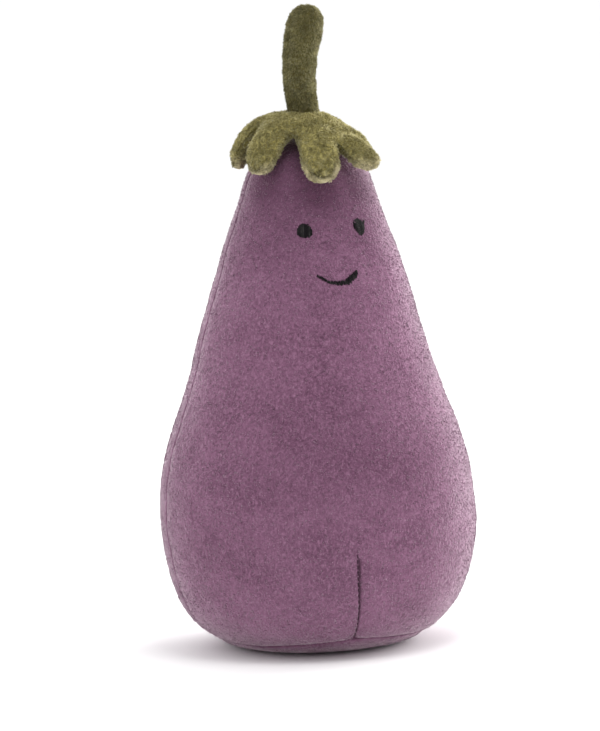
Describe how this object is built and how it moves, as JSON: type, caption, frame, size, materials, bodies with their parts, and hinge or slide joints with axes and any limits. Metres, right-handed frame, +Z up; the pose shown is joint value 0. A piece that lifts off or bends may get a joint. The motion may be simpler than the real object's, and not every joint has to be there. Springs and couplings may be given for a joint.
{
  "type": "plush eggplant toy",
  "caption": "Stuffed plush eggplant that stands on a flat base panel, with a padded leafy calyx, a stuffed stem and a plain stitched face.",
  "frame": {"origin": "middle of the flat spot under the base, on the surface that the toy stands on", "axes": "+Z up along the body towards the stem, -Y out of the face, +X to the toy's left hand"},
  "size_m": [0.13, 0.12, 0.2616],
  "materials": {
    "purple_plush": "short velour pile with a soft sheen",
    "green_plush": "short velour pile, olive green",
    "black_thread": "satin-stitched embroidery thread",
    "white_filling": "loose polyester fibre",
    "pellet_bag_cloth": "plain woven cloth"
  },
  "bodies": {
    "root": {"body_front": "purple_plush", "body_back": "purple_plush", "base_panel": "purple_plush", "pellet_bag": "pellet_bag_cloth", "body_stuffing": "white_filling", "calyx_upper": "green_plush", "calyx_lower": "green_plush", "calyx_wadding": "white_filling", "stem_cover": "green_plush", "stem_stuffing": "white_filling", "eye_stitching_right": "black_thread", "eye_stitching_left": "black_thread", "mouth_stitching": "black_thread"}
  },
  "joints": []
}
